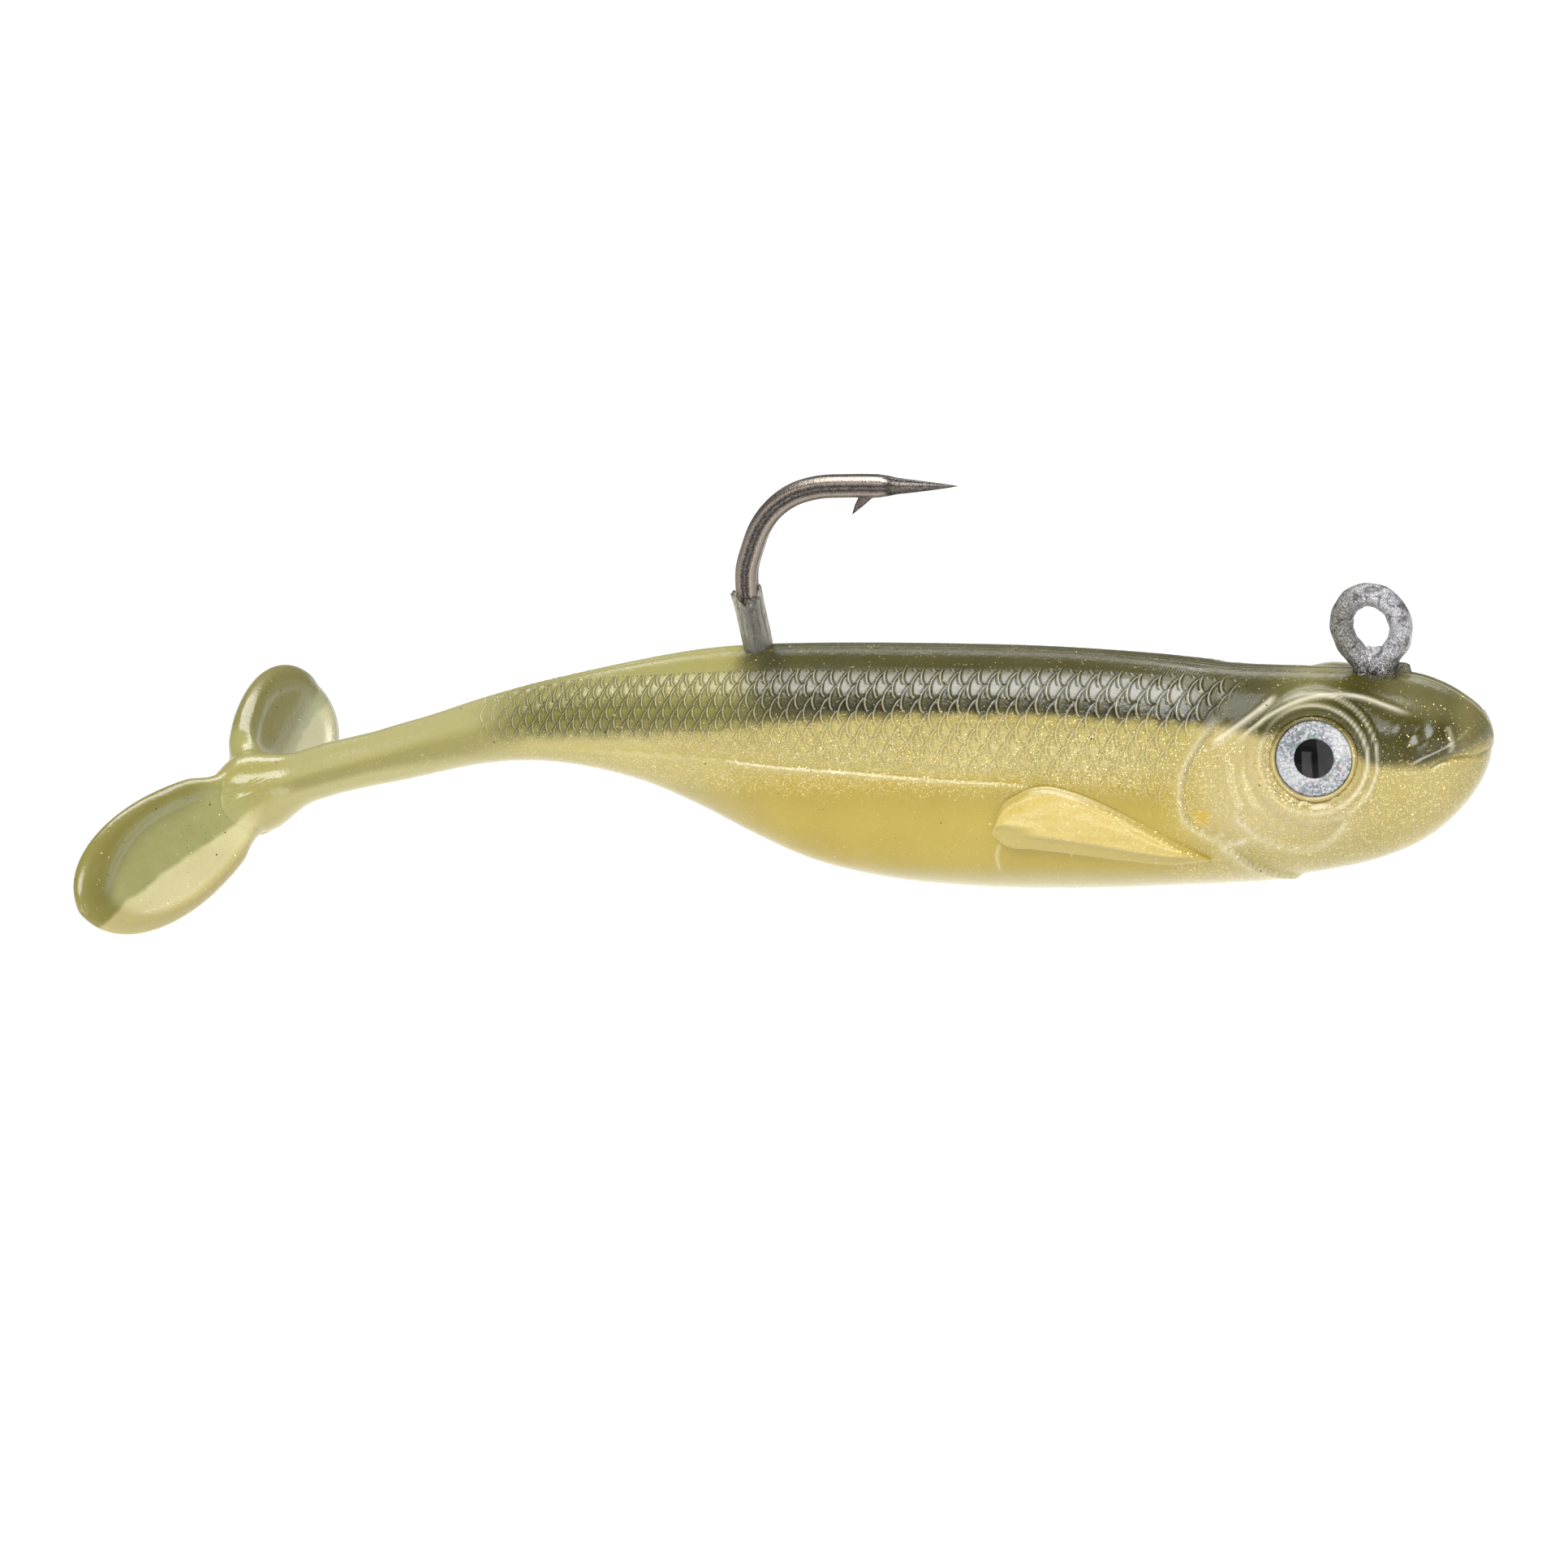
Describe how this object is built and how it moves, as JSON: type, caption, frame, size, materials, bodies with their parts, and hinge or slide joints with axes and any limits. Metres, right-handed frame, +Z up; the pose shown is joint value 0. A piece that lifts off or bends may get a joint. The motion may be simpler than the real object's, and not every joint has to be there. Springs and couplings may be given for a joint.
{
  "type": "swimbait",
  "caption": "Soft-bodied fish lure with an upturned single hook, a wire line tie, raised eyes and a flexible two-lobed fluke tail.",
  "frame": {"origin": "centre of the line-tie ring's hole", "axes": "+X towards the nose, +Y towards the fish's left side and along the ring's hole, +Z up"},
  "size_m": [0.1072, 0.0378, 0.0324],
  "materials": {
    "olive_plastisol": "glossy translucent soft plastic with fine dark specks",
    "gold_plastisol": "glossy translucent soft plastic with fine gold glitter",
    "core_plastisol": "saturated yellow soft plastic, sealed inside",
    "lead": "dull cast surface",
    "tie_wire": "rough bright silver wire",
    "hook_wire": "black nickel over a forged wire",
    "clear_sleeve": "clear soft tube, ragged at the top",
    "eye_foil": "silver foil with a fine radial grain",
    "pupil": "printed black",
    "eye_lens": "clear domed resin"
  },
  "bodies": {
    "trunk": {"olive_back": "olive_plastisol", "gold_belly": "gold_plastisol", "belly_core": "core_plastisol", "lead_insert": "lead", "line_tie": "tie_wire", "tie_collar": "clear_sleeve", "hook": "hook_wire", "hook_sleeve": "clear_sleeve", "left_eye_foil": "eye_foil", "left_pupil": "pupil", "left_eye_lens": "eye_lens", "right_eye_foil": "eye_foil", "right_pupil": "pupil", "right_eye_lens": "eye_lens"},
    "tail": {"tail_olive": "olive_plastisol", "tail_gold": "gold_plastisol"},
    "left_lobe": {"left_lobe_olive": "olive_plastisol", "left_lobe_gold": "gold_plastisol"},
    "right_lobe": {"right_lobe_olive": "olive_plastisol", "right_lobe_gold": "gold_plastisol"},
    "left_fin": {"left_pectoral_fin": "gold_plastisol"},
    "right_fin": {"right_pectoral_fin": "gold_plastisol"}
  },
  "joints": [
    {"name": "tail_swing", "type": "hinge", "parent": "trunk", "child": "tail", "pos_m": [-0.0669, -0.00005, -0.0074], "axis": [0, 0, 1], "range_deg": [-40, 40], "stiffness_Nm_per_rad": 0.002},
    {"name": "left_lobe_flex", "type": "hinge", "parent": "tail", "child": "left_lobe", "pos_m": [-0.09058, 0.00535, -0.01249], "axis": [0.5568, 0.1247, -0.8212], "range_deg": [-30, 30], "stiffness_Nm_per_rad": 0.0003},
    {"name": "right_lobe_flex", "type": "hinge", "parent": "tail", "child": "right_lobe", "pos_m": [-0.09226, -0.00609, -0.01383], "axis": [0.5256, -0.0882, -0.8462], "range_deg": [-30, 30], "stiffness_Nm_per_rad": 0.0003},
    {"name": "left_fin_flex", "type": "hinge", "parent": "trunk", "child": "left_fin", "pos_m": [-0.0137, 0.00635, -0.0141], "axis": [0.9595, 0, -0.2818], "range_deg": [0, 35], "stiffness_Nm_per_rad": 0.00001},
    {"name": "right_fin_flex", "type": "hinge", "parent": "trunk", "child": "right_fin", "pos_m": [-0.0137, -0.00635, -0.0141], "axis": [-0.9595, 0, 0.2818], "range_deg": [0, 35], "stiffness_Nm_per_rad": 0.00001}
  ]
}
